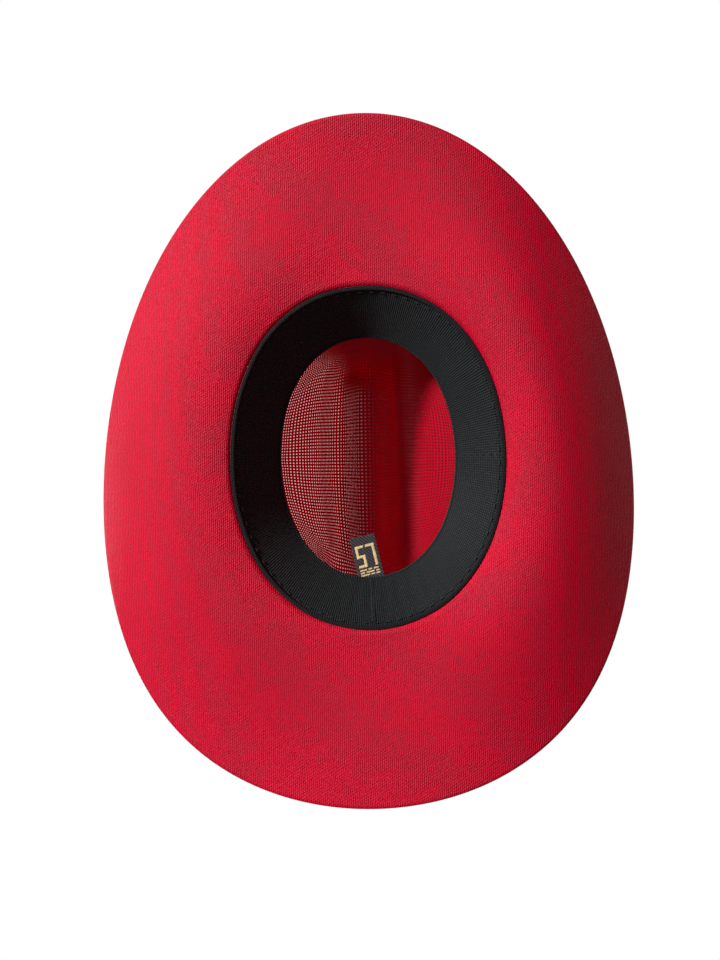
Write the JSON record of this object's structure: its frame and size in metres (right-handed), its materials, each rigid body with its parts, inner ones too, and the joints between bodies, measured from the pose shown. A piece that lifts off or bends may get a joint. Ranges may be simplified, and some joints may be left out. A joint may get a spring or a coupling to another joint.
{
  "type": "western fabric hat",
  "caption": "Wide-brimmed western-style fabric hat with rolled sides, an open-weave creased crown, a ribbed elastic sweatband, a hinged size label and a ribbon hatband.",
  "frame": {"origin": "under the centre of the brim, on the surface that the hat stands on", "axes": "+Z towards the crown top, -Y towards the wearer's forehead, +X towards the wearer's left"},
  "size_m": [0.329, 0.4008, 0.1288],
  "materials": {
    "brim_cloth": "dense fine twill with a soft sheen",
    "crown_cloth": "open weave, stiffened",
    "stiffener": "matt buckram",
    "band_elastic": "fine ribbed elastic",
    "band_hem": "smooth folded edge",
    "thread": "twisted thread",
    "label_cloth": "woven satin twill",
    "gold_thread": "raised metallic thread",
    "ribbon": "grosgrain"
  },
  "bodies": {
    "hat": {"crown": "crown_cloth", "crown_joint_stitching": "thread", "brim_under_ply": "brim_cloth", "brim_core": "stiffener", "brim_top_ply": "brim_cloth", "sweatband": "band_elastic", "sweatband_outer_hem": "band_hem", "sweatband_inner_hem": "band_hem", "sweatband_back_seam": "band_hem", "sweatband_stitching": "thread", "hatband": "ribbon", "bow_back_tier": "ribbon", "bow_front_tier": "ribbon", "bow_knot": "ribbon"},
    "label": {"size_label": "label_cloth", "size_label_lettering": "gold_thread"}
  },
  "joints": [
    {"name": "label_flap", "type": "hinge", "parent": "hat", "child": "label", "pos_m": [0.0015, 0.0735, 0.0434], "axis": [0.9728, -0.2317, 0], "range_deg": [-50, 30], "stiffness_Nm_per_rad": 0.002}
  ]
}
